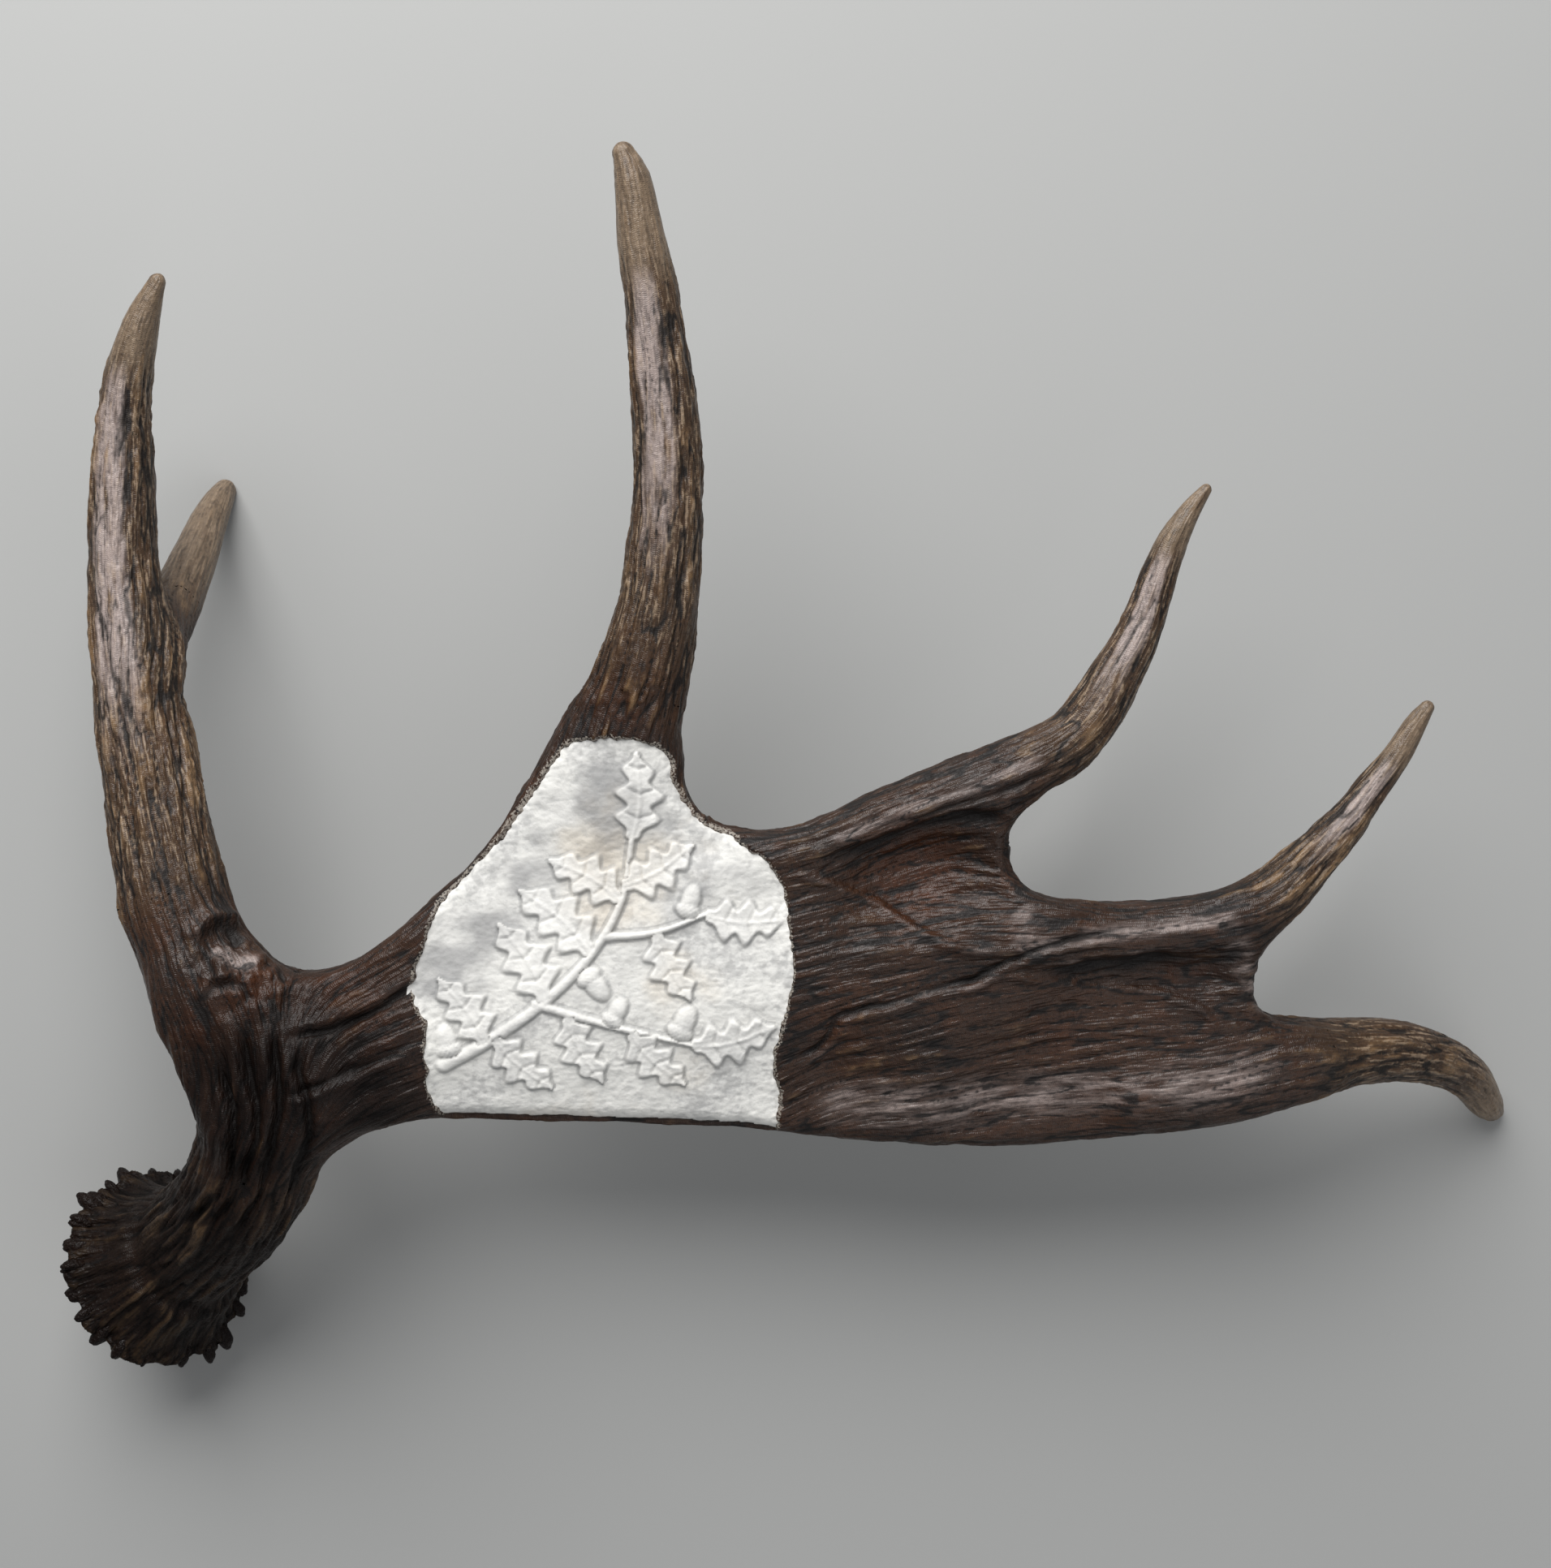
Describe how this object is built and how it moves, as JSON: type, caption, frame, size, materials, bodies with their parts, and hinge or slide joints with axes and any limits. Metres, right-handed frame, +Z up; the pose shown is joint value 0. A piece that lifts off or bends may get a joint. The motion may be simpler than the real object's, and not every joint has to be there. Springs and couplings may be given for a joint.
{
  "type": "moose antler",
  "caption": "Shed moose antler lying on its burr and two tips: short beam, broad palm with long tines, and a pale panel of carved bone in the dark palm.",
  "frame": {"origin": "on the ground under the middle of the antler's outline, as it lies", "axes": "+Z up, +X from the burr towards the end tine, +Y towards the tips of the upper tines"},
  "size_m": [0.6463, 0.5099, 0.1554],
  "materials": {
    "antler_bark": "ridged dark brown antler bone with tan ridge tops and a satin sheen",
    "palm_bark_and_bone": "dark brown veined antler bone, satin, around a panel of bare white carved bone, matt",
    "worn_tip": "rubbed tan antler bone, smooth and satin"
  },
  "bodies": {
    "root": {"beam_and_burr": "antler_bark", "palm": "palm_bark_and_bone", "brow_tine": "antler_bark", "brow_spur": "worn_tip", "upper_tine": "antler_bark", "middle_tine": "antler_bark", "side_tine": "antler_bark", "end_tine": "antler_bark"}
  },
  "joints": []
}
